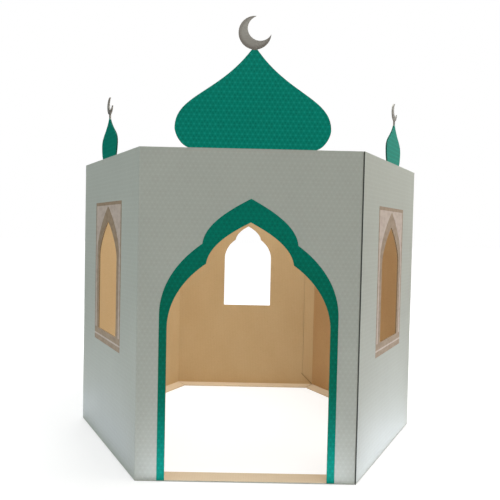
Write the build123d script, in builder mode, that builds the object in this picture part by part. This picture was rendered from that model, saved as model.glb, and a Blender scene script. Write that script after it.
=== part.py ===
from build123d import *
import os
from math import cos, radians, sin, tan

# A cardboard play mosque: an open-topped play house with six walls, folded from three sheets of
# corrugated board. Each sheet is two walls, the floor flanges under them and a glue flap that is
# stuck behind the first wall of the next sheet. The dome and the finials are cut in one piece with
# the walls that they stand on.
# Sizes are millimetres and degrees. The origin is the middle of the footprint on the floor, +Z is
# up and the doorway faces -Y.

# Board
board = 4.0  # thickness of the corrugated board
fold_radius = 5.0  # outer radius of an upright fold
foot_radius = 3.0  # outer radius of the fold at the foot of a wall

# Walls
wall_width = 640.0  # from corner to corner on the outer faces
wall_height = 960.0
side_turn = 62.0  # how far the front side walls turn back from the front wall

# Floor flanges, folded inwards from the foot of each wall
flange_width = 62.0  # from the outer face of the wall
flange_gap = 1.5  # between the end of a flange and the mitre line of its corner

# Glue flaps
flap_width = 50.0  # from the fold to the free edge
flap_taper = 45.0  # slope of the cut-back top and bottom ends
flap_lift = 3.0  # between the lower end of a flap and the flange under it

# Doorway, an arch of two lobes on each side with a cusp between them
door_width = 469.0
door_spring = 445.0  # height where the upright sides begin to curve
door_cusp_width = 251.0  # from cusp to cusp
door_cusp_height = 631.0
door_height = 751.0

# Back window, an arch of the same kind on a sill
back_width = 218.0
back_sill = 375.0
back_spring = 595.0
back_cusp_width = 118.0
back_cusp_height = 685.0
back_height = 748.0

# Side windows, pointed arches in the two front side walls
side_width = 214.0
side_sill = 380.0
side_spring = 628.0
side_height = 750.0

# Dome on the front wall, measured from the top of the wall
dome_base = 362.0
dome_width = 444.0
dome_belly = 56.0  # height of the widest place
dome_height = 290.0
dome_neck = 16.0  # width of the stem between the point and the crescent
dome_moon_radius = 46.5
dome_moon_height = 326.0  # height of the crescent's centre

# Finials on the front side walls, measured from the top of the wall
finial_base = 150.0
finial_width = 178.0
finial_belly = 43.0
finial_height = 132.0
finial_neck = 9.0
finial_moon_radius = 28.0
finial_moon_height = 168.0

# Shape of a crescent: a disc with a smaller disc bitten out, as shares of the disc's radius
bite_size = 0.765
bite_right = 0.32
bite_up = 0.28

# Pull of each end of a curved outline, as shares of the curve's run and rise
haunch_pull = (0.0, 0.437), (0.531, 0.216)  # arch side, from the upright edge to the cusp
crown_pull = (0.051, 0.404), (0.508, 0.266)  # arch top, from the cusp to the point
lancet_pull = (0.0, 0.33), (0.45, 0.23)  # pointed window, from the upright edge to the point
belly_pull = (0.65, 0.13), (0.0, 0.27)  # dome, from the wall to the widest place
shoulder_pull = (0.0, 0.396), (0.413, 0.578)  # dome, from the widest place to the point

# Corners of the footprint on the outer faces
half_width = wall_width / 2
half_depth = wall_width * sin(radians(side_turn))
half_span = half_width + wall_width * cos(radians(side_turn))
front_left = Vector(-half_width, -half_depth)
front_right = Vector(half_width, -half_depth)
right = Vector(half_span, 0)
back_right = Vector(half_width, half_depth)
back_left = Vector(-half_width, half_depth)
left = Vector(-half_span, 0)


def direction(start, end):
    """Unit vector along a wall, to the right when seen from outside."""
    return (end - start).normalized()


def inward(along):
    """Unit vector from a wall that runs along this direction towards the middle."""
    return Vector(0, 0, 1).cross(along)


def half_turn(before, corner, after):
    """Half of the angle that the outer face turns at a corner."""
    return radians(direction(before, corner).get_angle(direction(corner, after)) / 2)


def upright_plane(origin, along):
    """Upright plane through a floor point: X to the right seen from outside, Y up, Z outwards."""
    return Plane(origin=origin, x_dir=along, z_dir=-inward(along))


def outer_face(start, end):
    """Outer face of a wall, with its origin at the middle of the wall's foot."""
    return upright_plane((start + end) * 0.5, direction(start, end))


def glue_fold(before, corner, after):
    """Point where a wall folds into the flap that lies one board behind the next wall."""
    turn = 2 * half_turn(before, corner, after)
    return corner - direction(before, corner) * (board / sin(turn))


def sheet_plan(start, fold, tuck, tip):
    """Plan of a sheet: two walls and a glue flap, one board thick."""
    with BuildSketch() as plan:
        with BuildLine():
            FilletPolyline(start, fold, tuck, tip, radius=fold_radius)
            offset(amount=board, side=Side.LEFT)
        make_face()
    return plan.sketch


def flange_plan(before, start, end, after):
    """Plan of the floor flange of the wall from start to end, mitred to its neighbours."""
    along = direction(start, end)
    first_mitre = along * tan(half_turn(before, start, end)) + inward(along)
    last_mitre = inward(along) - along * tan(half_turn(start, end, after))
    first = start + along * flange_gap
    last = end - along * flange_gap
    rooted = board / 2  # the flange starts in the middle of the wall's thickness
    with BuildSketch() as plan:
        with BuildLine():
            Polyline(
                first + first_mitre * rooted,
                last + last_mitre * rooted,
                last + last_mitre * flange_width,
                first + first_mitre * flange_width,
                close=True,
            )
        make_face()
    return plan.sketch


def flap_trim(fold, tuck, tip):
    """What is cut off a glue flap: a slope at the bottom, clear of the flange, and one at the top."""
    root = fold_radius * tan(half_turn(fold, tuck, tip))
    past = flap_width + board
    foot = board + flap_lift
    rise = (past - root) * tan(radians(flap_taper))
    with BuildSketch(upright_plane(tuck, direction(tuck, tip))) as trim:
        with BuildLine():
            Polyline((root, -board), (past, -board), (past, foot + rise), (root, foot), close=True)
        make_face()
        mirror(about=Plane.XZ.offset(-wall_height / 2))
    return trim.sketch


def fold_sheet(before, start, fold, end, after):
    """Two walls with their floor flanges and glue flap, added to the part being built."""
    tuck = glue_fold(fold, end, after)
    tip = tuck + direction(end, after) * flap_width
    extrude(sheet_plan(start, fold, tuck, tip), amount=wall_height)
    extrude(flange_plan(before, start, fold, tuck), amount=board)
    extrude(flange_plan(start, fold, tuck, tip), amount=board)
    extrude(flap_trim(fold, tuck, tip), amount=2 * board, both=True, mode=Mode.SUBTRACT)
    fillet(edges().sort_by_distance((start + fold) * 0.5)[0], radius=foot_radius)


def lobe(foot, head, pulls):
    """One curved stretch of an outline, from its foot up to its head."""
    run = head[0] - foot[0]
    rise = head[1] - foot[1]
    (foot_run, foot_rise), (head_run, head_rise) = pulls
    foot_pull = (foot[0] + foot_run * run, foot[1] + foot_rise * rise)
    head_pull = (head[0] - head_run * run, head[1] - head_rise * rise)
    Bezier(foot, foot_pull, head_pull, head)


def cusped_arch(plane, width, sill, spring, cusp_width, cusp_height, height):
    """Opening with upright sides and a cusped arch that ends in a point."""
    cusp = (cusp_width / 2, cusp_height)
    with BuildSketch(plane) as opening:
        with BuildLine():
            Polyline((0, sill), (width / 2, sill), (width / 2, spring))
            lobe((width / 2, spring), cusp, haunch_pull)
            lobe(cusp, (0, height), crown_pull)
            mirror(about=Plane.YZ)
        make_face()
    return opening.sketch


def pointed_arch(plane, width, sill, spring, height):
    """Opening with upright sides and a plain pointed arch."""
    with BuildSketch(plane) as opening:
        with BuildLine():
            Polyline((0, sill), (width / 2, sill), (width / 2, spring))
            lobe((width / 2, spring), (0, height), lancet_pull)
            mirror(about=Plane.YZ)
        make_face()
    return opening.sketch


def onion_and_moon(plane, base, width, belly, height, neck, moon_radius, moon_height):
    """Onion outline on top of a wall, rooted one board down in it, with a crescent on its neck."""
    foot = wall_height
    with BuildSketch(plane) as outline:
        with BuildLine():
            Polyline((0, foot - board), (base / 2, foot - board), (base / 2, foot))
            lobe((base / 2, foot), (width / 2, foot + belly), belly_pull)
            lobe((width / 2, foot + belly), (0, foot + height), shoulder_pull)
            mirror(about=Plane.YZ)
        make_face()
        with Locations((0, foot + height - neck)):
            Rectangle(neck, moon_height - height + neck, align=(Align.CENTER, Align.MIN))
        with Locations((0, foot + moon_height)):
            Circle(moon_radius)
        with Locations((bite_right * moon_radius, foot + moon_height + bite_up * moon_radius)):
            Circle(bite_size * moon_radius, mode=Mode.SUBTRACT)
    return outline.sketch


# Front wall with the doorway and the dome, and the left side wall with its window and finial
with BuildPart() as front_sheet:
    fold_sheet(back_left, left, front_left, front_right, right)
    front_face = outer_face(front_left, front_right)
    extrude(
        onion_and_moon(
            front_face,
            dome_base,
            dome_width,
            dome_belly,
            dome_height,
            dome_neck,
            dome_moon_radius,
            dome_moon_height,
        ),
        amount=-board,
    )
    left_face = outer_face(left, front_left)
    extrude(
        onion_and_moon(
            left_face,
            finial_base,
            finial_width,
            finial_belly,
            finial_height,
            finial_neck,
            finial_moon_radius,
            finial_moon_height,
        ),
        amount=-board,
    )
    extrude(
        cusped_arch(
            front_face, door_width, board, door_spring, door_cusp_width, door_cusp_height, door_height
        ),
        amount=2 * board,
        both=True,
        mode=Mode.SUBTRACT,
    )
    extrude(
        pointed_arch(left_face, side_width, side_sill, side_spring, side_height),
        amount=2 * board,
        both=True,
        mode=Mode.SUBTRACT,
    )

# Right side wall with its window and finial, and the plain right rear wall
with BuildPart() as right_sheet:
    fold_sheet(front_left, front_right, right, back_right, back_left)
    right_face = outer_face(front_right, right)
    extrude(
        onion_and_moon(
            right_face,
            finial_base,
            finial_width,
            finial_belly,
            finial_height,
            finial_neck,
            finial_moon_radius,
            finial_moon_height,
        ),
        amount=-board,
    )
    extrude(
        pointed_arch(right_face, side_width, side_sill, side_spring, side_height),
        amount=2 * board,
        both=True,
        mode=Mode.SUBTRACT,
    )

# Back wall with its window, and the plain left rear wall
with BuildPart() as back_sheet:
    fold_sheet(right, back_right, back_left, left, front_left)
    back_face = outer_face(back_right, back_left)
    extrude(
        cusped_arch(
            back_face, back_width, back_sill, back_spring, back_cusp_width, back_cusp_height, back_height
        ),
        amount=2 * board,
        both=True,
        mode=Mode.SUBTRACT,
    )

front_sheet.part.label = "front_sheet"
right_sheet.part.label = "right_sheet"
back_sheet.part.label = "back_sheet"

os.makedirs("parts", exist_ok=True)
export_step(front_sheet.part, "parts/front_sheet.step")
export_step(right_sheet.part, "parts/right_sheet.step")
export_step(back_sheet.part, "parts/back_sheet.step")
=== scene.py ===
# %% [markdown]
# # A cardboard play mosque
#
# The real object is a play house for small children: six walls of corrugated board, folded from three
# sheets that are glued to each other, with a dome and two finials cut in one piece with the front
# walls. The outside is printed and the inside is bare brown kraft. The board itself comes from the
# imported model, at its real size, so this lesson only gives the board its finish and lays the print on
# it.

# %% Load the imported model
import math
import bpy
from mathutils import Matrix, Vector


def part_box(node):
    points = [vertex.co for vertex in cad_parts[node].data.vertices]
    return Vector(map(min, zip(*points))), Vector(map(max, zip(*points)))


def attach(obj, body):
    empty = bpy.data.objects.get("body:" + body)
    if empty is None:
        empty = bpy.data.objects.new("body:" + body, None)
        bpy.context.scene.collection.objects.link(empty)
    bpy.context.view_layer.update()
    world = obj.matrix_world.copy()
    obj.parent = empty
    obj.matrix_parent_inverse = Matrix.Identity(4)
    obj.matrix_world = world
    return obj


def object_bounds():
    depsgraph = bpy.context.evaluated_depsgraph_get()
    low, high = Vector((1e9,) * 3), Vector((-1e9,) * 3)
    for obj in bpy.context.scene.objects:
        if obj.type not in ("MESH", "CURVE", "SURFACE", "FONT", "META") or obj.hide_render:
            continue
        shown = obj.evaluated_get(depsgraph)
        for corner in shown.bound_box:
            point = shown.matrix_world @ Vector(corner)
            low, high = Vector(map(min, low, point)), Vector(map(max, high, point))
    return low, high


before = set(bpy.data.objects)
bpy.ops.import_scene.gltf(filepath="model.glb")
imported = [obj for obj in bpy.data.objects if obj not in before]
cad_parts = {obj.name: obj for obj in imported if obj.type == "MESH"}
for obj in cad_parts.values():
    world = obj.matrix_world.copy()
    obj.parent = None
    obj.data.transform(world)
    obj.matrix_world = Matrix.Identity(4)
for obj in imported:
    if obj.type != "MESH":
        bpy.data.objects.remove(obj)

from types import SimpleNamespace

import bpy
from mathutils import Color, Matrix, Vector

cad_low, cad_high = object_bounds()
print("CAD box", [round(x, 4) for x in (*cad_low, *cad_high)])

# %% [markdown]
# ## The walls as places to work on
#
# Every printed piece lies on the outer face of a wall. It is easiest to draw such a piece flat, with X
# along the wall and Y up from the floor, and then to stand it up with one matrix. The front and back
# walls are square to the Y axis. The side walls turn by 62 degrees, so their place follows from that
# turn and from the box of the model.

# %% Wall matrices
MM = 0.001
SIDE_TURN = math.radians(62.0)
front_distance = -cad_low.y
half_span = -cad_low.x
half_wall = half_span - front_distance / math.tan(SIDE_TURN)
wall_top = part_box("back_sheet")[1].z


def wall_matrix(middle, along):
    """Stands a flat drawing up on a wall: X runs along it, Y goes up and Z points out of it."""
    outward = along.cross(Vector((0, 0, 1)))
    turn = Matrix((along, Vector((0, 0, 1)), outward)).transposed()
    return Matrix.Translation(middle) @ turn.to_4x4()


side_middle = Vector(((half_span + half_wall) / 2, -front_distance / 2, 0))
side_along = Vector((math.cos(SIDE_TURN), math.sin(SIDE_TURN), 0))
mirror_x = Vector((-1, 1, 1))
WALLS = {
    "front": wall_matrix(Vector((0, -front_distance, 0)), Vector((1, 0, 0))),
    "right": wall_matrix(side_middle, side_along),
    "left": wall_matrix(side_middle * mirror_x, side_along * Vector((1, -1, 1))),
}
print("wall", round(2 * half_wall, 4), "by", round(wall_top, 4))

# %% [markdown]
# ## The camera
#
# The photograph was taken from straight in front, about a doorway's height above the floor, with a
# slightly wide lens. The camera's place, its three turns and its focal length were worked out from the
# corners of the walls. A camera looks down its own -Z axis, so it is first tipped up to look along +Y,
# and then yawed, pitched and rolled by small angles.

# %% Camera
EYE = Vector((-0.0159, -2.2692, 0.7279))
YAW = math.radians(-0.504)
PITCH = math.radians(-1.844)
ROLL = math.radians(1.249)
IMAGE_WIDTH = 500
FOCAL_PIXELS = 598.4
SENSOR_WIDTH = 36.0

bpy.ops.object.select_all(action="DESELECT")
bpy.ops.object.camera_add()
camera = bpy.context.object
camera.name = "photo_camera"
camera.matrix_world = (
    Matrix.Translation(EYE)
    @ Matrix.Rotation(YAW, 4, "Z")
    @ Matrix.Rotation(math.pi / 2 + PITCH, 4, "X")
    @ Matrix.Rotation(ROLL, 4, "Z")
)
camera.data.sensor_width = SENSOR_WIDTH
camera.data.lens = SENSOR_WIDTH * FOCAL_PIXELS / IMAGE_WIDTH
bpy.context.scene.camera = camera
print("camera lens", round(camera.data.lens, 2), "mm")

# %% [markdown]
# ## Shorthand for shader nodes
#
# A finish is a small graph of nodes. Written out in full, each node takes four or five lines, so these
# helpers add one node each and give back its output socket. A helper takes numbers, colours or other
# sockets: a socket is linked and anything else is typed into the field.

# %% Node helpers
def feed(tree, socket, value):
    """Links a socket to another one, or types a value into it."""
    if isinstance(value, bpy.types.NodeSocket):
        tree.links.new(value, socket)
    else:
        socket.default_value = value


def calc(tree, operation, *values):
    """A Math node."""
    step = tree.nodes.new("ShaderNodeMath")
    step.operation = operation
    for socket, value in zip(step.inputs, values):
        feed(tree, socket, value)
    return step.outputs[0]


def dot(tree, vector, direction):
    """How far a vector reaches in a fixed direction."""
    step = tree.nodes.new("ShaderNodeVectorMath")
    step.operation = "DOT_PRODUCT"
    feed(tree, step.inputs[0], vector)
    feed(tree, step.inputs[1], direction)
    return step.outputs["Value"]


def choose(tree, share, first, second):
    """A number between two others."""
    step = tree.nodes.new("ShaderNodeMix")
    for index, value in ((0, share), (2, first), (3, second)):
        feed(tree, step.inputs[index], value)
    return step.outputs[0]


def tint(tree, share, first, second):
    """A colour between two others."""
    step = tree.nodes.new("ShaderNodeMix")
    step.data_type = "RGBA"
    for index, value in ((0, share), (6, first), (7, second)):
        feed(tree, step.inputs[index], value)
    return step.outputs[2]


def tone(tree, colour, level):
    """A colour made darker or lighter by a level around 1."""
    step = tree.nodes.new("ShaderNodeVectorMath")
    step.operation = "SCALE"
    feed(tree, step.inputs[0], colour)
    feed(tree, step.inputs["Scale"], level)
    return step.outputs[0]


print("helpers for numbers and colours ready")

# %% [markdown]
# ## Steps, noise and new materials
#
# Four more helpers make what most finishes need: a soft step between two numbers, noise that can be
# stretched along each axis, a bump, and a colour from the numbers of a colour picker. The last one
# makes an empty material. Print on board has only a slight sheen, so its specular level is low.

# %% Finish helpers
def step_up(tree, value, low, high, top=1.0):
    """A smooth step from 0, where the value is low, to top, where it is high."""
    step = tree.nodes.new("ShaderNodeMapRange")
    step.interpolation_type = "SMOOTHSTEP"
    for index, number in enumerate((value, low, high, 0.0, top)):
        feed(tree, step.inputs[index], number)
    return step.outputs[0]


def grain(tree, vector, cells_per_metre, detail):
    """Noise with its own fineness along each axis, from 0 to 1."""
    stretch = tree.nodes.new("ShaderNodeVectorMath")
    stretch.operation = "MULTIPLY"
    feed(tree, stretch.inputs[0], vector)
    feed(tree, stretch.inputs[1], cells_per_metre)
    noise = tree.nodes.new("ShaderNodeTexNoise")
    feed(tree, noise.inputs["Vector"], stretch.outputs[0])
    feed(tree, noise.inputs["Scale"], 1.0)
    feed(tree, noise.inputs["Detail"], detail)
    return noise.outputs[0]


def relief(tree, height, distance):
    """A bump that makes a surface stand up by this distance where the height is 1."""
    bump = tree.nodes.new("ShaderNodeBump")
    feed(tree, bump.inputs["Height"], height)
    feed(tree, bump.inputs["Distance"], distance)
    return bump.outputs[0]


def paint(red, green, blue):
    """The linear colour for the 0 to 255 numbers of a colour picker."""
    return (*Color((red / 255, green / 255, blue / 255)).from_srgb_to_scene_linear(), 1.0)


SHINE = 0.07


def new_material(name, roughness):
    """A material with a Principled shader of that roughness, and its node tree."""
    material = bpy.data.materials.new(name)
    material.use_nodes = True
    shader = material.node_tree.nodes["Principled BSDF"]
    shader.inputs["Roughness"].default_value = roughness
    shader.inputs["Specular IOR Level"].default_value = SHINE
    return material, material.node_tree, shader


print("helpers for finishes ready")

# %% [markdown]
# ## The stage
#
# The photograph shows the object cut out on pure white, so the floor and the world are white to the
# camera and to reflections. The Light Path node does that: it tells a camera ray from a ray that
# carries light. For camera rays the floor glows a little and is lit a little, so it comes out white in
# the open and keeps a faint shadow under the walls, and the glow grows with the distance until no
# horizon is left. For all other rays it is plain pale card that throws light back up.

# %% Floor
FLOOR_SIZE = 60.0
FLOOR_GAP = 0.5 * MM
GLOW_NEAR = 0.66
GLOW_FAR = 1.0
GLOW_REACH = 0.9, 2.6
FLOOR_SHADE = 0.40
FLOOR_BOUNCE = 0.80


def seen_directly(tree):
    """1 for camera, mirror and see-through rays, and 0 for rays that carry light."""
    path = tree.nodes.new("ShaderNodeLightPath")
    share = calc(tree, "MAXIMUM", path.outputs["Is Camera Ray"], path.outputs["Is Glossy Ray"])
    return calc(tree, "MAXIMUM", share, path.outputs["Is Transmission Ray"])


bpy.ops.object.select_all(action="DESELECT")
bpy.ops.mesh.primitive_plane_add(size=FLOOR_SIZE, location=(0, 0, -FLOOR_GAP))
floor = bpy.context.object
floor.name = "studio_floor"
floor_finish = bpy.data.materials.new("white_studio_floor")
floor_finish.use_nodes = True
tree = floor_finish.node_tree
tree.nodes.remove(tree.nodes["Principled BSDF"])
bounce, shade = (tree.nodes.new("ShaderNodeBsdfDiffuse") for _ in range(2))
bounce.inputs["Color"].default_value = (FLOOR_BOUNCE, FLOOR_BOUNCE, FLOOR_BOUNCE, 1)
shade.inputs["Color"].default_value = (FLOOR_SHADE, FLOOR_SHADE, FLOOR_SHADE, 1)
glow = tree.nodes.new("ShaderNodeEmission")
floor_place = tree.nodes.new("ShaderNodeTexCoord")
away = tree.nodes.new("ShaderNodeVectorMath")
away.operation = "LENGTH"
tree.links.new(floor_place.outputs["Object"], away.inputs[0])
open_floor = step_up(tree, away.outputs["Value"], *GLOW_REACH)
feed(tree, glow.inputs["Strength"], choose(tree, open_floor, GLOW_NEAR, GLOW_FAR))
shown = tree.nodes.new("ShaderNodeAddShader")
tree.links.new(glow.outputs[0], shown.inputs[0])
tree.links.new(shade.outputs[0], shown.inputs[1])
either = tree.nodes.new("ShaderNodeMixShader")
for socket, value in zip(either.inputs, (seen_directly(tree), bounce.outputs[0], shown.outputs[0])):
    feed(tree, socket, value)
tree.links.new(either.outputs[0], tree.nodes["Material Output"].inputs["Surface"])
floor.data.materials.append(floor_finish)
print("floor", FLOOR_SIZE, "m wide")

# %% [markdown]
# ## The world
#
# The world does the same with one Background node: it is white where it is seen, and a softer grey
# that only fills the shadows where it gives light.

# %% World
FILL_LEVEL = 0.20

world = bpy.data.worlds.new("white_studio")
bpy.context.scene.world = world
world.use_nodes = True
sky = world.node_tree.nodes["Background"]
sky.inputs["Color"].default_value = (1, 1, 1, 1)
tree = world.node_tree
feed(tree, sky.inputs["Strength"], choose(tree, seen_directly(tree), FILL_LEVEL, 1.0))
print("fill light", FILL_LEVEL)

# %% [markdown]
# ## The light
#
# The light in the photograph is soft and comes from above, with a little more of it on the right. A
# large lamp overhead gives most of it. Three weaker ones stand high on the right, high in front and low
# on the left, and one behind lights the rear walls for the other views. A very weak one with a narrow
# beam shines in over the right walls, because the back wall is as light on its right as on its left.
# Each colour is close to white: the lamp on the left is a little cooler, as the left wall is.

# %% Lamps
def aimed(place, target):
    """Where a lamp stands, and the turn with which it looks at a point."""
    place = Vector(place)
    turn = (Vector(target) - place).to_track_quat("-Z", "Y")
    return Matrix.Translation(place) @ turn.to_matrix().to_4x4()


FULL_SPREAD = 180
NARROW_SPREAD = 36


def soft_lamp(name, stand, width, depth, watts, colour, spread=FULL_SPREAD):
    """A flat lamp that lights softly and that the camera doesn't see."""
    bpy.ops.object.select_all(action="DESELECT")
    bpy.ops.object.light_add(type="AREA")
    lamp = bpy.context.object
    lamp.name = name
    lamp.matrix_world = stand
    lamp.data.shape = "RECTANGLE"
    lamp.data.size = width
    lamp.data.size_y = depth
    lamp.data.energy = watts
    lamp.data.color = colour
    lamp.data.spread = math.radians(spread)
    lamp.visible_camera = False
    print(name, watts, "W")


LAMPS = {
    "overhead": ((0.4, -0.4, 3.2), (0.0, -0.2, 0.0), 2.6, 90.0, (1.0, 1.0, 0.97)),
    "high_right": ((1.8, -0.4, 2.8), (0.0, 0.2, 0.4), 1.4, 21.0, (1.0, 0.95, 0.88)),
    "high_front": ((0.3, -2.6, 2.8), (0.0, -0.4, 0.5), 1.8, 6.0, (1.0, 1.0, 0.97)),
    "low_left": ((-2.8, -1.4, 1.1), (-0.4, -0.2, 0.4), 1.6, 18.0, (0.79, 0.95, 1.0)),
    "behind": ((-0.6, 3.0, 1.8), (0.0, 0.4, 0.5), 2.0, 55.0, (1.0, 1.0, 1.0)),
    "inside": ((0.75, -0.9, 2.4), (0.42, 0.56, 0.55), 0.5, 0.3, (0.95, 1.0, 1.0)),
}
for name, (place, target, size, watts, colour) in LAMPS.items():
    spread = NARROW_SPREAD if name == "inside" else FULL_SPREAD
    soft_lamp(name, aimed(place, target), size, size, watts, colour, spread)

# %% [markdown]
# ## Light from the ground
#
# Each wall gets lighter and cooler towards its foot, because the bright ground throws light back. A
# strip of light that lies on the ground along the wall does the same. The deeper the strip, the higher
# its light reaches up the wall. A gap between the strip and the wall leaves the very foot darker, and
# on the left, where the gap is wide, the lightest place is a hand's breadth above the ground.

# %% Ground strips
STRIP_LIFT = 1 * MM
STRIPS = {
    "front": (20 * MM, 0.18, 0.76, (0.80, 0.84, 1.0)),
    "right": (7 * MM, 0.35, 1.45, (0.77, 0.82, 1.0)),
    "left": (36 * MM, 0.21, 0.375, (0.66, 0.71, 1.0)),
}
face_up = Matrix.Rotation(math.pi / 2, 4, "X")
for wall, (gap, depth, watts, colour) in STRIPS.items():
    for side, turn in (("near", 0), ("far", math.pi)):
        on_wall = Matrix.Rotation(turn, 4, "Z") @ WALLS[wall]
        stand = on_wall @ Matrix.Translation((0, STRIP_LIFT, gap + depth / 2)) @ face_up
        soft_lamp(f"ground_{wall}_{side}", stand, 2 * half_wall, depth, watts, colour)

# %% [markdown]
# ## A card against the sheen
#
# Print on board has a slight sheen, which shows most where a wall is seen at a flat angle. In the
# photograph the right wall and its finial look hazy from it, and the left ones don't, because that side
# of the room was dark. A photographer would put a black card there. This one is seen by mirror rays
# only, so it takes no other light.

# %% Sheen card
CARD_SIZE = 3.2
CARD_PLACE = -2.0, 1.35, 1.0
CARD_TURN = math.pi / 2, 0, math.radians(42)

bpy.ops.object.select_all(action="DESELECT")
bpy.ops.mesh.primitive_plane_add(size=CARD_SIZE, location=CARD_PLACE, rotation=CARD_TURN)
card = bpy.context.object
card.name = "sheen_card"
card.visible_camera = False
card.visible_diffuse = False
card.visible_shadow = False
black_card, tree, shader = new_material("black_card", 1.0)
shader.inputs["Base Color"].default_value = (0, 0, 0, 1)
shader.inputs["Specular IOR Level"].default_value = 0
card.data.materials.append(black_card)
print("card of", CARD_SIZE, "m at", CARD_PLACE)

# %% [markdown]
# ## Where a point lies on the board
#
# The finish of the board depends on which side of the sheet a point is: print outside, kraft inside,
# and the open flutes on the cut edges. The shader can find that out by itself from Object coordinates.
# The six walls are three pairs of opposite ones. For each pair, the distance from the middle gives how
# deep a point lies under the outer face, and the pair with the smallest depth is the wall that the
# point belongs to. The normal then says whether the face looks outwards, inwards or across the sheet.
#
# Three of the corners are seams: there a wall of the next sheet begins with a raw end. On the right and
# left walls the seam lies at the start of the wall seen from outside, and in the front and back pair
# only the back wall has one. The raw end itself is found by its normal, which points back along the
# wall, close to its corner.

# %% Board coordinates
FAR = 9.0
SEAM_SIDE = {"front": -1, "right": 1, "left": 1}
SEAM_REACH = 0.55
END_LIMIT = 0.9


def wall_places(tree):
    """Where a point lies on its wall: along it, up it, under its face, and which way the face looks."""
    coordinates = tree.nodes.new("ShaderNodeTexCoord")
    position = coordinates.outputs["Object"]
    normal = coordinates.outputs["Normal"]
    place = SimpleNamespace(along=0.0, facing=0.0, raw_end=0.0)
    place.from_seam = place.depth = place.next_depth = FAR
    for wall, matrix in WALLS.items():
        outward = matrix.col[2].xyz
        along = dot(tree, position, matrix.col[0].xyz)
        across = dot(tree, position, outward)
        wall_distance = matrix.translation.dot(outward)
        depth = calc(tree, "SUBTRACT", wall_distance, calc(tree, "ABSOLUTE", across))
        facing = calc(tree, "MULTIPLY", calc(tree, "SIGN", across), dot(tree, normal, outward))
        nearer = calc(tree, "LESS_THAN", depth, place.depth)
        place.along = choose(tree, nearer, place.along, along)
        seam_side = SEAM_SIDE[wall]
        from_seam = calc(tree, "MULTIPLY_ADD", along, seam_side, half_wall)
        with_seam = calc(tree, "GREATER_THAN", calc(tree, "MULTIPLY", across, seam_side), 0.0)
        from_seam = choose(tree, with_seam, FAR, from_seam)
        place.from_seam = choose(tree, nearer, place.from_seam, from_seam)
        end = matrix.col[0].xyz * -seam_side
        corner = (matrix.translation * seam_side + end * half_wall).normalized()
        looks_back = calc(tree, "GREATER_THAN", dot(tree, normal, end), END_LIMIT)
        at_corner = calc(tree, "GREATER_THAN", dot(tree, position, corner), SEAM_REACH)
        raw_end = calc(tree, "MULTIPLY", looks_back, at_corner)
        place.raw_end = calc(tree, "MAXIMUM", place.raw_end, raw_end)
        place.facing = choose(tree, nearer, place.facing, facing)
        farther = calc(tree, "MAXIMUM", depth, place.depth)
        place.next_depth = calc(tree, "MINIMUM", place.next_depth, farther)
        place.depth = calc(tree, "MINIMUM", depth, place.depth)
    place.position = position
    place.up = dot(tree, position, (0, 0, 1))
    place.rise = dot(tree, normal, (0, 0, 1))
    flat = tree.nodes.new("ShaderNodeCombineXYZ")
    for socket, value in zip(flat.inputs, (place.along, place.up, place.depth)):
        feed(tree, socket, value)
    place.flat = flat.outputs[0]
    return place


print("board coordinates ready")

# %% [markdown]
# ## The star lattice of the print
#
# The print has a fine geometric net all over: three sets of parallel lines at 60 degrees to each other,
# and a six-pointed star at every third crossing. It is a traditional pattern that can be drawn with a
# ruler, so the shader draws it the same way. Ping-pong folds a distance back and forth, which gives the
# distance to the nearest line of a set. A point lies in a star where at least two of the three
# distances are small, that is where the middle one of the three is small.

# %% Star lattice
STAR_ROW = 39.5 * MM
LINES_PER_ROW = 3
LINE_ANGLES = 30, 90, 150
LINE_SHARE = 0.17


def star_lattice(tree, place):
    """Two masks: the thin lines of the lattice, strongest at the crossings, and the stars in it."""
    lines = 0.0
    offsets = []
    for angle in map(math.radians, LINE_ANGLES):
        direction = (math.cos(angle), math.sin(angle), 0)
        run = calc(tree, "DIVIDE", dot(tree, place.flat, direction), STAR_ROW)
        offsets.append(calc(tree, "PINGPONG", run, 0.5))
        fine = calc(tree, "PINGPONG", calc(tree, "MULTIPLY", run, LINES_PER_ROW), 0.5)
        lines = calc(tree, "ADD", lines, calc(tree, "LESS_THAN", fine, LINE_SHARE))
    first, second, third = offsets
    low = calc(tree, "MINIMUM", first, second)
    high = calc(tree, "MAXIMUM", first, second)
    middle = calc(tree, "MAXIMUM", low, calc(tree, "MINIMUM", high, third))
    stars = calc(tree, "LESS_THAN", middle, 0.5 / LINES_PER_ROW)
    return calc(tree, "DIVIDE", lines, len(LINE_ANGLES)), stars


print("star lattice of", STAR_ROW, "m rows")

# %% [markdown]
# ## The wave in the board
#
# Corrugated board is a wave of paper between two flat liners. The wave shows through both liners as
# faint upright lines, the washboard, which is a sine of the place along the wall. It is far too
# shallow to model, so a bump lets it stand up a little, together with the grain of the paper. Noise
# is given by its cells in a metre along the wall, up it and under its face, and by its detail.

# %% Washboard
BOARD = 4.0 * MM
FLUTE_PITCH = 7.5 * MM
FINE = (500, 500, 500), 2.0
RELIEF = 0.05 * MM
RELIEF_WAVE = 0.5


def washboard(tree, place):
    """The wave of the board, from -1 to 1 along the wall."""
    return calc(tree, "SINE", calc(tree, "MULTIPLY", place.along, 2 * math.pi / FLUTE_PITCH))


def board_relief(tree, shader, place):
    """Lets the washboard and the grain of the paper stand up a little."""
    fine = grain(tree, place.flat, *FINE)
    height = calc(tree, "MULTIPLY_ADD", washboard(tree, place), RELIEF_WAVE, fine)
    feed(tree, shader.inputs["Normal"], relief(tree, height, RELIEF))


print("flutes every", FLUTE_PITCH, "m")

# %% [markdown]
# ## The printed side
#
# The outside is covered with a satin grey print. The star lattice on it is very faint: its lines are
# a little lighter than the ground and its stars a little darker. Large soft noise makes the print as
# uneven as a big press leaves it.

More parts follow.
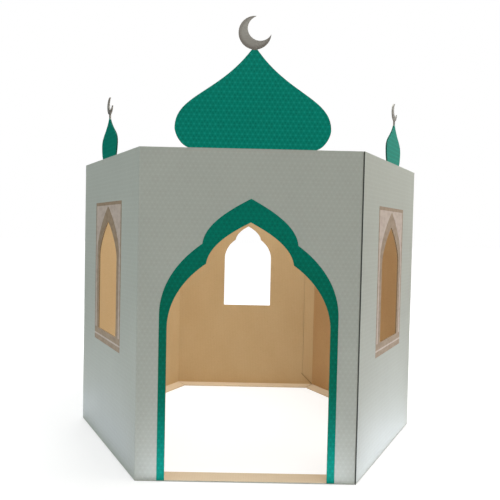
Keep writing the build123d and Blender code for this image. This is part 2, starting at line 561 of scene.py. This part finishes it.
# %% Printed side
PRINT_ROUGHNESS = 0.5
GREY_PRINT = paint(182, 185, 175)
GREY_LINE = paint(188, 191, 182)
GREY_STAR = paint(181, 183, 173)
UNEVEN = (6, 4, 6), 3.0
UNEVEN_SHARE = 0.10


def print_colour(tree, place, ground, line, star):
    """Printed board: the star lattice on its ground colour, a little uneven."""
    lines, stars = star_lattice(tree, place)
    colour = tint(tree, lines, tint(tree, stars, ground, star), line)
    uneven = grain(tree, place.flat, *UNEVEN)
    level = calc(tree, "MULTIPLY_ADD", uneven, UNEVEN_SHARE, 1 - UNEVEN_SHARE / 2)
    return tone(tree, colour, level)


print("print uneven by", UNEVEN_SHARE)

# %% [markdown]
# ## The kraft side
#
# The inside is bare brown kraft: long fibres, soft clouds and dark specks, each a noise of its own
# fineness. The glue flaps and the floor flanges have the same kraft on every sheet, and the walls
# have two tones that are passed in, which on one sheet are darker and warmer as painted shade. The
# lower end of a glue flap is cut on a slope and leaves a narrow shadow on the wall beneath it. The flap
# is only one board thick, so soft lamps lose that shadow, and the finish draws it.

# %% Kraft side
KRAFT_ROUGHNESS = 0.85
KRAFT = paint(205, 180, 140)
KRAFT_DARK = paint(197, 170, 129)
# Kraft with painted shade for the inside of the right sheet's walls: darker and warmer, as those walls
# lie in shade.
KRAFT_IN_PAINTED_SHADE = paint(197, 164, 122)
KRAFT_IN_PAINTED_SHADE_DARK = paint(189, 154, 112)
KRAFT_SPECK = paint(140, 104, 62)
FIBRE = (90, 900, 900), 4.0
FIBRE_SHARE = 0.55
CLOUD = (9, 5, 9), 3.0
CLOUD_SHARE = 0.45
WAVE_SHARE = 0.06
MOTTLE_RANGE = 0.30, 0.72
SPECKS = (420, 900, 420), 1.0
SPECK_RANGE = 0.70, 0.78
SPECK_SHARE = 0.6
WALL_ZONE = 1.5 * BOARD
FLAP_WIDTH = 54 * MM
FLAP_FOOT = 4 * MM
FLAP_SHADE = 7 * MM
FLAP_DARKENING = 0.6


def kraft_colour(tree, place, wall_light, wall_dark):
    """Bare kraft liner: washboard lines, long fibres and dark specks."""
    fibre = calc(tree, "MULTIPLY", grain(tree, place.flat, *FIBRE), FIBRE_SHARE)
    cloud = calc(tree, "MULTIPLY", grain(tree, place.flat, *CLOUD), CLOUD_SHARE)
    mottle = calc(tree, "ADD", fibre, cloud)
    lined = calc(tree, "MULTIPLY_ADD", washboard(tree, place), WAVE_SHARE, mottle)
    darker = step_up(tree, lined, *MOTTLE_RANGE)
    on_wall = calc(tree, "LESS_THAN", place.depth, WALL_ZONE)
    walls = tint(tree, darker, wall_light, wall_dark)
    colour = tint(tree, on_wall, tint(tree, darker, KRAFT, KRAFT_DARK), walls)
    speck = step_up(tree, grain(tree, place.flat, *SPECKS), *SPECK_RANGE, SPECK_SHARE)
    colour = tint(tree, speck, colour, KRAFT_SPECK)
    below = calc(tree, "SUBTRACT", calc(tree, "ADD", place.from_seam, FLAP_FOOT), place.up)
    near_flap = step_up(tree, below, FLAP_SHADE, 0.0)
    under_flap = calc(tree, "MULTIPLY", calc(tree, "GREATER_THAN", below, 0.0), near_flap)
    beside = calc(tree, "LESS_THAN", place.from_seam, FLAP_WIDTH)
    shade = calc(tree, "MULTIPLY", under_flap, calc(tree, "MULTIPLY", on_wall, beside))
    return tone(tree, colour, calc(tree, "MULTIPLY_ADD", shade, -FLAP_DARKENING, 1.0))


print("shadow of", FLAP_SHADE, "m under each glue flap")

# %% [markdown]
# ## The cut edges
#
# A cut edge shows the two liners with the wave between them, and painted shade in the hollows beside
# the wave. How deep a point lies under the face tells a liner from a hollow. Each edge has the tone of
# its place: green on the dome and the finials, silver on the crescents, pale with painted light on the
# floor flanges and nearly black with painted shade on the raw ends at the seams.

# %% Cut edges
FLUTE_SWING = 1.25 * MM
PAPER = 0.45 * MM
ORNAMENT_ZONE = BOARD / 4
MOON_FOOT_DOME = 282 * MM
MOON_FOOT_FINIAL = 124 * MM
EDGE_PAPER = paint(172, 150, 118)
# Painted shade: the hollows of the open flutes are dark, as light doesn't reach into them.
EDGE_HOLLOW_PAINTED_SHADE = paint(112, 90, 64)
INKED_PAPER = paint(44, 104, 90)
# The hollows of the green edges are painted shade as well.
INKED_HOLLOW_PAINTED_SHADE = paint(16, 66, 56)
# Painted light: the cut edges of the floor flanges are made pale, as if well lit, their hollows too.
FLANGE_PAPER_PAINTED_LIGHT = paint(226, 208, 176)
FLANGE_HOLLOW_PAINTED_LIGHT = paint(196, 172, 134)
# Painted shade: the raw ends at the seams are coloured nearly black, as they lie in the shade of the
# glue gap.
SEAM_PAPER_PAINTED_SHADE = paint(100, 101, 94)
SEAM_HOLLOW_PAINTED_SHADE = paint(52, 54, 49)
SILVER_EDGE = paint(160, 158, 152)


def edge_colour(tree, place):
    """Cut edge: two liners with the wave of paper between them, in the tones of its place."""
    on_flange = calc(tree, "LESS_THAN", place.up, BOARD)
    in_sheet = choose(tree, place.raw_end, place.depth, place.next_depth)
    under = calc(tree, "MODULO", choose(tree, on_flange, in_sheet, place.up), BOARD)
    swing = calc(tree, "MULTIPLY_ADD", washboard(tree, place), FLUTE_SWING, BOARD / 2)
    to_wave = calc(tree, "ABSOLUTE", calc(tree, "SUBTRACT", under, swing))
    to_liner = calc(tree, "PINGPONG", under, BOARD / 2)
    paper = calc(tree, "LESS_THAN", calc(tree, "MINIMUM", to_wave, to_liner), PAPER)
    # The hollow colours paint the shade inside the flutes.
    plain = tint(tree, paper, EDGE_HOLLOW_PAINTED_SHADE, EDGE_PAPER)
    inked = tint(tree, paper, INKED_HOLLOW_PAINTED_SHADE, INKED_PAPER)
    # The painted shade on the raw ends at the seams.
    seam_painted_shade = tint(tree, paper, SEAM_HOLLOW_PAINTED_SHADE, SEAM_PAPER_PAINTED_SHADE)
    over_wall = calc(tree, "SUBTRACT", place.up, wall_top)
    sideways = calc(tree, "ABSOLUTE", dot(tree, place.position, (1, 0, 0)))
    on_finial = calc(tree, "GREATER_THAN", sideways, half_wall)
    moon_foot = choose(tree, on_finial, MOON_FOOT_DOME, MOON_FOOT_FINIAL)
    on_moon = calc(tree, "GREATER_THAN", over_wall, moon_foot)
    on_ornament = calc(tree, "GREATER_THAN", over_wall, ORNAMENT_ZONE)
    cut = tint(tree, on_ornament, plain, tint(tree, on_moon, inked, SILVER_EDGE))
    # The painted light on the cut edges of the floor flanges.
    flange_edge_painted_light = tint(tree, paper, FLANGE_HOLLOW_PAINTED_LIGHT, FLANGE_PAPER_PAINTED_LIGHT)
    return tint(tree, place.raw_end, tint(tree, on_flange, cut, flange_edge_painted_light), seam_painted_shade)


print("edge colours ready, liners of", PAPER, "m")

# %% [markdown]
# ## The whole board
#
# One material has all the sides of a sheet, chosen by the way that a face looks: print outside and
# under the foot, kraft inside, and the cut edge across the sheet. The print gets painted shade in the
# grooves at the seams, and the tops of the floor flanges get a pale painted sheen. The walls of the
# right sheet get painted shade inside, a little darker and warmer, so that sheet has a material of its
# own.

# %% Board finish
FACE_LIMIT = 0.35
FOOT_ZONE = 2 * BOARD
GROOVE_DEPTH = 0.2 * BOARD, 0.6 * BOARD
GROOVE_SHADE = 0.7
# Painted sheen: the kraft on the tops of the floor flanges is made paler, as light falls on them from
# above.
FLANGE_TOP_PAINTED_SHEEN = paint(228, 222, 212)
FLANGE_TOP_PAINTED_SHEEN_SHARE = 0.35


def board_finish(name, wall_light, wall_dark):
    """Printed corrugated board, with the two tones of kraft on the inside of its walls."""
    material, tree, shader = new_material(name, PRINT_ROUGHNESS)
    place = wall_places(tree)
    low_down = calc(tree, "LESS_THAN", place.up, FOOT_ZONE)
    underside = calc(tree, "MULTIPLY", low_down, calc(tree, "LESS_THAN", place.rise, -FACE_LIMIT))
    outside = calc(tree, "MAXIMUM", underside, calc(tree, "GREATER_THAN", place.facing, FACE_LIMIT))
    outside = calc(tree, "MULTIPLY", outside, calc(tree, "SUBTRACT", 1.0, place.raw_end))
    flange_top = calc(tree, "MULTIPLY", low_down, calc(tree, "GREATER_THAN", place.rise, FACE_LIMIT))
    above_flange = calc(tree, "GREATER_THAN", place.up, BOARD)
    looks_in = calc(tree, "MULTIPLY", above_flange, calc(tree, "LESS_THAN", place.facing, -FACE_LIMIT))
    inside = calc(tree, "MAXIMUM", flange_top, looks_in)
    printed = print_colour(tree, place, GREY_PRINT, GREY_LINE, GREY_STAR)
    # Painted shade: the print is darkened in the grooves at the seams, where a face lies below the
    # outer face.
    groove = step_up(tree, place.depth, *GROOVE_DEPTH, GROOVE_SHADE)
    groove = calc(tree, "MULTIPLY", groove, above_flange)
    printed = tone(tree, printed, calc(tree, "SUBTRACT", 1.0, groove))
    kraft = kraft_colour(tree, place, wall_light, wall_dark)
    # The painted sheen on the flange tops.
    kraft = tint(tree, calc(tree, "MULTIPLY", flange_top, FLANGE_TOP_PAINTED_SHEEN_SHARE), kraft, FLANGE_TOP_PAINTED_SHEEN)
    sides = tint(tree, inside, edge_colour(tree, place), kraft)
    feed(tree, shader.inputs["Base Color"], tint(tree, outside, sides, printed))
    feed(tree, shader.inputs["Roughness"], choose(tree, outside, KRAFT_ROUGHNESS, PRINT_ROUGHNESS))
    board_relief(tree, shader, place)
    return material


BOARDS = {
    "printed_corrugated_board": (("front_sheet", "back_sheet"), KRAFT, KRAFT_DARK),
    # The right sheet's walls get the kraft with painted shade.
    "printed_board_painted_shade": (("right_sheet",), KRAFT_IN_PAINTED_SHADE, KRAFT_IN_PAINTED_SHADE_DARK),
}
for name, (nodes, wall_light, wall_dark) in BOARDS.items():
    board = board_finish(name, wall_light, wall_dark)
    for node in nodes:
        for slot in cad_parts[node].material_slots:
            slot.material = board
    print(name, "on", nodes)

# %% [markdown]
# ## Inks for the printed pieces
#
# The dome, the finials and the band round the doorway are printed in deep green, with the same star
# lattice in lighter lines and darker stars. The green of the band has painted shade, deepest halfway up
# the legs, and painted light that turns it to a lighter green at their feet. The left finial has
# painted shade, a little deeper than the right one. The frames of the side windows are a pinkish beige
# with brown lines, like marble with inlay, and have a little more sheen. Each ink gets the relief of
# the board that it lies on.

# %% Inks
FRAME_SHINE = 0.18
VEINS = (35, 60, 35), 4.0
VEIN_RANGE = 0.40, 0.68
BAND_GREEN = paint(0, 116, 97)
# Painted shade halfway up the band's legs, and painted light from the bright ground at their feet.
BAND_PAINTED_SHADE = paint(0, 104, 83)
BAND_FOOT_PAINTED_LIGHT = paint(0, 131, 115)
BAND_RISE = 480 * MM, 790 * MM
BAND_FALL = 330 * MM, 30 * MM
BAND_LINE = 1.34
BAND_STAR = 0.94


def ink(name, ground, line, star):
    """Satin ink with the star lattice, on board whose washboard shows through."""
    material, tree, shader = new_material(name, PRINT_ROUGHNESS)
    place = wall_places(tree)
    feed(tree, shader.inputs["Base Color"], print_colour(tree, place, ground, line, star))
    board_relief(tree, shader, place)
    return material


def band_finish(name):
    """The green of the doorway band, with painted shade halfway up the legs and painted light at their
    feet.
    """
    material, tree, shader = new_material(name, PRINT_ROUGHNESS)
    place = wall_places(tree)
    # The band's painted shade and painted light, by height above the floor.
    upper = tint(tree, step_up(tree, place.up, *BAND_RISE), BAND_PAINTED_SHADE, BAND_GREEN)
    ground = tint(tree, step_up(tree, place.up, *BAND_FALL), upper, BAND_FOOT_PAINTED_LIGHT)
    line, star = tone(tree, ground, BAND_LINE), tone(tree, ground, BAND_STAR)
    feed(tree, shader.inputs["Base Color"], print_colour(tree, place, ground, line, star))
    board_relief(tree, shader, place)
    return material


def plain_ink(name, ground, vein):
    """Satin ink with soft veins, for the window frames, with more sheen than the rest of the print."""
    material, tree, shader = new_material(name, PRINT_ROUGHNESS)
    shader.inputs["Specular IOR Level"].default_value = FRAME_SHINE
    place = wall_places(tree)
    veins = step_up(tree, grain(tree, place.flat, *VEINS), *VEIN_RANGE)
    feed(tree, shader.inputs["Base Color"], tint(tree, veins, ground, vein))
    board_relief(tree, shader, place)
    return material


green_ink = ink("green_star_print", paint(0, 127, 108), paint(14, 152, 133), paint(0, 123, 104))
# Painted shade: the left finial gets a deeper green than the right one, which shows the sheen.
left_finial_painted_shade_ink = ink("green_print_painted_shade", paint(0, 116, 97), paint(8, 132, 113), paint(0, 113, 94))
band_ink = band_finish("green_band_print")
field_ink = plain_ink("window_field_print", paint(199, 183, 170), paint(187, 169, 156))
line_ink = plain_ink("window_line_print", paint(162, 141, 118), paint(148, 127, 104))
pale_ink = plain_ink("window_pale_print", paint(198, 183, 170), paint(190, 173, 160))
print("inks", [ready.name for ready in (green_ink, left_finial_painted_shade_ink, band_ink, field_ink, line_ink, pale_ink)])

# %% [markdown]
# ## Drawing the outlines
#
# An outline is a chain of cubic curves, as a pen tool draws it. Each curved stretch goes from a foot to
# a head and is given by how far its two handles pull, as shares of its run and rise. Those are the same
# numbers that cut the board, so the print ends exactly on the cut. Only the right half is drawn. The
# left half is the same chain, mirrored and turned round.

# %% Outline helpers
def line(start, end):
    """A straight stretch, with its handles at the thirds."""
    start, end = Vector(start), Vector(end)
    return start, start.lerp(end, 1 / 3), start.lerp(end, 2 / 3), end


def lobe(foot, head, pulls):
    """A curved stretch from its foot up to its head."""
    foot, head = Vector(foot), Vector(head)
    reach = head - foot
    foot_pull, head_pull = (Vector(pull) for pull in pulls)
    return foot, foot + reach * foot_pull, head - reach * head_pull, head


def arc(centre, radius, start, end):
    """A round stretch between two angles, as quarter turns or less."""
    count = math.ceil(abs(end - start) / (math.pi / 2))
    turn = (end - start) / count
    handle = 4 / 3 * math.tan(turn / 4) * radius
    chain = []
    for index in range(count):
        first, last = (
            Vector((math.cos(angle), math.sin(angle)))
            for angle in (start + index * turn, start + (index + 1) * turn)
        )
        foot, head = centre + first * radius, centre + last * radius
        foot_pull = foot + first.orthogonal() * handle
        head_pull = head - last.orthogonal() * handle
        chain.append((foot, foot_pull, head_pull, head))
    return chain


FLIP = Vector((-1, 1))


def flipped(chain):
    """The same chain on the other side of the middle line."""
    return [tuple(point * FLIP for point in piece) for piece in chain]


def backwards(chain):
    """The same chain, drawn from its end to its start."""
    return [tuple(reversed(piece)) for piece in reversed(chain)]


def both_sides(half):
    """The whole outline, from its right half drawn upwards."""
    return half + backwards(flipped(half))


def frame_outline(outer, inner):
    """A frame that is open below, from the right halves of its outer and inner outlines."""
    outer_foot, inner_foot = outer[0][0], inner[0][0]
    chain = both_sides(outer)
    chain.append(line(outer_foot * FLIP, inner_foot * FLIP))
    chain += flipped(inner) + backwards(inner)
    chain.append(line(inner_foot, outer_foot))
    return chain


def box_outline(half_width, low, high):
    """A rectangle about the middle line."""
    corners = (-half_width, low), (half_width, low), (half_width, high), (-half_width, high)
    return [line(corner, corners[(index + 1) % 4]) for index, corner in enumerate(corners)]


print("outline helpers ready")

# %% [markdown]
# ## Laying a print on its wall
#
# A print is drawn as a flat curve with holes, which Blender fills between its outlines. It gets the
# thickness of a coat of ink, becomes a mesh, and is then stood up on its wall with the wall's matrix.
# Applying the place leaves the object at the origin, as the board is. Prints that lie on another print
# are lifted by one coat.

# %% Print maker
INK = 0.15 * MM
CLEAR = 0.02 * MM
CURVE_STEPS = 20
MERGE = 0.001 * MM


def add_spline(curve, outline):
    """Adds a closed chain of cubic stretches, given in millimetres, to a curve."""
    spline = curve.splines.new("BEZIER")
    spline.use_cyclic_u = True
    spline.bezier_points.add(len(outline) - 1)
    for index, knot in enumerate(spline.bezier_points):
        before, after = outline[index - 1], outline[index]
        knot.handle_left_type = knot.handle_right_type = "FREE"
        knot.co = after[0].to_3d() * MM
        knot.handle_left = before[2].to_3d() * MM
        knot.handle_right = after[1].to_3d() * MM


def lay_print(name, wall, outlines, coat, material):
    """A coat of ink with these outlines on a wall, the second and later ones inside being holes."""
    bpy.ops.object.select_all(action="DESELECT")
    bpy.ops.curve.primitive_bezier_curve_add()
    piece = bpy.context.object
    piece.name = name
    piece.data.dimensions = "2D"
    piece.data.fill_mode = "BOTH"
    piece.data.resolution_u = CURVE_STEPS
    piece.data.extrude = INK / 2
    piece.data.splines.clear()
    for outline in outlines:
        add_spline(piece.data, outline)
    bpy.ops.object.convert(target="MESH")
    piece = bpy.context.object
    lift = CLEAR + INK / 2 + coat * (CLEAR + INK)
    piece.matrix_world = WALLS[wall] @ Matrix.Translation((0, 0, lift))
    bpy.ops.object.transform_apply(location=True, rotation=True, scale=True)
    bpy.ops.object.mode_set(mode="EDIT")
    bpy.ops.mesh.select_all(action="SELECT")
    bpy.ops.mesh.remove_doubles(threshold=MERGE)
    bpy.ops.mesh.normals_make_consistent(inside=False)
    bpy.ops.object.mode_set(mode="OBJECT")
    piece.data.name = name
    piece.data.materials.clear()
    piece.data.materials.append(material)
    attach(piece, "root")
    print(name, len(piece.data.polygons), "faces")


print("print maker ready, coats of", INK, "m")

# %% [markdown]
# ## The band round the doorway
#
# A broad green band frames the doorway and runs down to the floor on both sides. Its inner outline is
# the cut of the doorway. Its outer outline has the same two lobes on each side, with the cusp further
# out and a point higher up.

# %% Doorway band
HAUNCH = (0.0, 0.437), (0.531, 0.216)
CROWN = (0.051, 0.404), (0.508, 0.266)
BAND_HAUNCH = (0.0, 0.543), (0.316, 0.132)
BAND_CROWN = (0.037, 0.392), (0.526, 0.292)
DOOR = SimpleNamespace(half=234.5, spring=445, cusp=(125.5, 631), tip=751)
BAND = SimpleNamespace(half=257, foot=3, spring=482, cusp=(137, 688), tip=819)


def arch_side(shape, foot, haunch, crown):
    """The right side of a cusped arch, from its foot up to its point."""
    return [
        line((shape.half, foot), (shape.half, shape.spring)),
        lobe((shape.half, shape.spring), shape.cusp, haunch),
        lobe(shape.cusp, (0, shape.tip), crown),
    ]


band_side = arch_side(BAND, BAND.foot, BAND_HAUNCH, BAND_CROWN)
door_side = arch_side(DOOR, BAND.foot, HAUNCH, CROWN)
lay_print("door_band", "front", [frame_outline(band_side, door_side)], 0, band_ink)

# %% [markdown]
# ## The crescents
#
# A crescent is a disc with a smaller disc bitten out of it, up and to the right. Its two horns lie
# where the circles cross, which the cosine rule gives. A short neck goes down from it. It is silver
# grey, shaded like a bent metal strip: that shading is part of the print, so it is drawn from the
# distance to the crescent's own middle.

# %% Crescents
BITE_SIZE = 0.765
BITE = Vector((0.32, 0.28))
SILVER = paint(166, 163, 155)
SILVER_SHADE = paint(114, 107, 100)
SILVER_ROUGHNESS = 0.38
SILVER_METAL = 0.25
RIM_START = 0.72
RIM_SHARE = 0.45
LOW_RANGE = -0.4, 0.9
LOW_SHARE = 0.3
BRUSH = (60, 500, 60), 3.0
BRUSH_SHARE = 0.35


def silver_ink(name, middle, radius):
    """Silver grey ink, darker towards the rim and the foot of one crescent."""
    material, tree, shader = new_material(name, SILVER_ROUGHNESS)
    place = wall_places(tree)
    span = tree.nodes.new("ShaderNodeVectorMath")
    span.operation = "DISTANCE"
    feed(tree, span.inputs[0], place.position)
    feed(tree, span.inputs[1], middle)
    rim = step_up(tree, span.outputs["Value"], RIM_START * radius, radius)
    height = calc(tree, "SUBTRACT", middle.z, place.up)
    low = step_up(tree, height, *(share * radius for share in LOW_RANGE))
    brush = grain(tree, place.flat, *BRUSH)
    shade = calc(tree, "MULTIPLY_ADD", rim, RIM_SHARE, calc(tree, "MULTIPLY", low, LOW_SHARE))
    shade = calc(tree, "MULTIPLY_ADD", brush, BRUSH_SHARE, shade)
    feed(tree, shader.inputs["Base Color"], tint(tree, shade, SILVER, SILVER_SHADE))
    shader.inputs["Metallic"].default_value = SILVER_METAL
    return material


def crescent_outline(middle, radius, neck, foot):
    """A disc with a smaller disc bitten out of it, on a neck that goes down to its foot."""
    apart = BITE.length * radius
    bite = BITE_SIZE * radius
    aim = math.atan2(BITE.y, BITE.x)
    outer = math.acos((radius**2 + apart**2 - bite**2) / (2 * radius * apart))
    inner = math.acos((radius**2 - apart**2 - bite**2) / (2 * bite * apart))
    low = 1.5 * math.pi
    spread = math.asin(neck / 2 / radius)
    shoulder = middle.y - radius * math.cos(spread)
    left, right = -neck / 2, neck / 2
    chain = arc(middle, radius, aim + outer, low - spread)
    chain.append(line((left, shoulder), (left, foot)))
    chain.append(line((left, foot), (right, foot)))
    chain.append(line((right, foot), (right, shoulder)))
    chain += arc(middle, radius, low + spread, aim + 2 * math.pi - outer)
    return chain + arc(middle + BITE * radius, bite, aim - inner, aim - 2 * math.pi + inner)


print("crescents with a bite of", BITE_SIZE, "of their radius")

# %% [markdown]
# ## Dome and finials
#
# The onion shapes are cut out of the board and printed green on their outer side, down to the top of
# the wall. One function draws all three, each with the crescent on its point. The neck of the
# crescent laps a little over the green.

# %% Onions
BELLY = (0.65, 0.13), (0.0, 0.27)
SHOULDER = (0.0, 0.396), (0.413, 0.578)
TOP = wall_top / MM
NECK_LAP = 2
DOME = SimpleNamespace(foot=181, belly=(222, 56), tip=290, neck=16, moon=46.5, moon_up=326)
FINIAL = SimpleNamespace(foot=75, belly=(89, 43), tip=132, neck=9, moon=28, moon_up=168)


def lay_onion(name, wall, shape, green):
    """The green onion and its silver crescent on top of one wall."""
    belly = shape.belly[0], TOP + shape.belly[1]
    side = [
        line((0, TOP), (shape.foot, TOP)),
        lobe((shape.foot, TOP), belly, BELLY),
        lobe(belly, (0, TOP + shape.tip), SHOULDER),
    ]
    lay_print(name + "_print", wall, [both_sides(side)], 0, green)
    middle = Vector((0, TOP + shape.moon_up))
    centre = WALLS[wall] @ (middle * MM).to_3d()
    silver = silver_ink(name + "_silver_print", centre, shape.moon * MM)
    foot = min(TOP + shape.tip, middle.y - shape.moon) - NECK_LAP
    outline = crescent_outline(middle, shape.moon, shape.neck, foot)
    lay_print(name + "_crescent", wall, [outline], 1, silver)


lay_onion("dome", "front", DOME, green_ink)
lay_onion("left_finial", "left", FINIAL, left_finial_painted_shade_ink)
lay_onion("right_finial", "right", FINIAL, green_ink)

# %% [markdown]
# ## The frames of the side windows
#
# Each side window sits in a printed panel: a beige field with thin brown lines at its sides and a
# heavier one at the top, a brown band round the pointed opening, and a sill of two brown bands with a
# pale line between them. The field has the opening as a hole, and the lines lie on it as a second coat.

# %% Window panels
LANCET = (0.0, 0.33), (0.45, 0.23)
OPENING = SimpleNamespace(half=107, sill=380, spring=628, tip=750)
HOOD = SimpleNamespace(half=131, sill=380, spring=648, tip=799)
PANEL = SimpleNamespace(half=154, low=338, high=813, side_line=9, top_line=11)
SILL_LINE = 355, 360.5


def lancet_side(shape):
    """The right side of a pointed arch, from its sill up to its point."""
    return [
        line((shape.half, shape.sill), (shape.half, shape.spring)),
        lobe((shape.half, shape.spring), (0, shape.tip), LANCET),
    ]


def closed_lancet(shape):
    """A whole pointed opening with its sill."""
    return both_sides([line((0, shape.sill), (shape.half, shape.sill))] + lancet_side(shape))


def lay_window(wall):
    """The printed panel of one side window."""
    opening = closed_lancet(OPENING)
    panel = box_outline(PANEL.half, PANEL.low, PANEL.high)
    lay_print(wall + "_window_field", wall, [panel, opening], 0, field_ink)
    hood = frame_outline(lancet_side(HOOD), lancet_side(OPENING))
    lay_print(wall + "_window_hood", wall, [hood], 1, line_ink)
    inside = box_outline(PANEL.half - PANEL.side_line, OPENING.sill, PANEL.high - PANEL.top_line)
    border = box_outline(PANEL.half, OPENING.sill, PANEL.high)
    lay_print(wall + "_window_border", wall, [border, inside], 1, line_ink)
    line_low, line_high = SILL_LINE
    low_band = box_outline(PANEL.half, PANEL.low, line_low)
    high_band = box_outline(PANEL.half, line_high, OPENING.sill)
    lay_print(wall + "_window_sill", wall, [low_band, high_band], 1, line_ink)
    pale = box_outline(PANEL.half, line_low, line_high)
    lay_print(wall + "_window_sill_line", wall, [pale], 1, pale_ink)


lay_window("left")
lay_window("right")

# %% [markdown]
# ## The view transform
#
# The dressed object has to keep the size of the imported model. The view transform is Standard, which
# leaves the colours as they were mixed.

# %% View transform
bpy.context.scene.view_settings.view_transform = "Standard"
